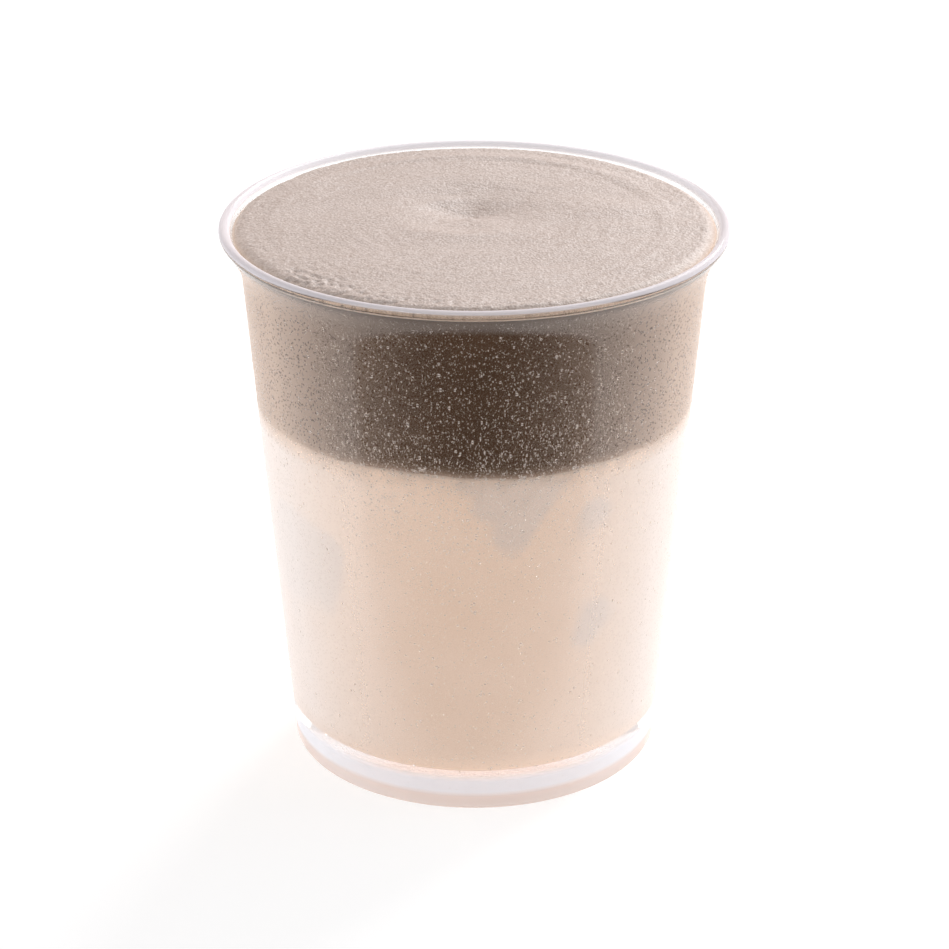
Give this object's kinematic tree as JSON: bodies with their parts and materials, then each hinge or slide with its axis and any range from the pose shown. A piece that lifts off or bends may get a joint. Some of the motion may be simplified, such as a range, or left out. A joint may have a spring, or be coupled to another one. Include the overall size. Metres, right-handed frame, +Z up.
{
  "type": "latte in a glass",
  "caption": "Iced latte in a flared clear tumbler: pale milk under a deep band of coffee foam, levelled off at the lip.",
  "frame": {"origin": "centre of the foot's flat underside, on the surface the glass stands on", "axes": "+Z up along the glass's axis, -Y towards the side that faces the viewer, +X to the viewer's right"},
  "size_m": [0.09, 0.09, 0.1],
  "materials": {
    "clear_glass": "clear, polished, with fine cold condensation on the outside",
    "milk": "opaque pale milk, smooth and wet",
    "coffee_foam": "dense coffee foam with fine bubbles, soft matte",
    "ice": "clear melting ice, rounded edges",
    "water": "clear beads of water on the cold glass"
  },
  "bodies": {
    "root": {"glass": "clear_glass", "milk": "milk", "foam": "coffee_foam"}
  },
  "joints": []
}
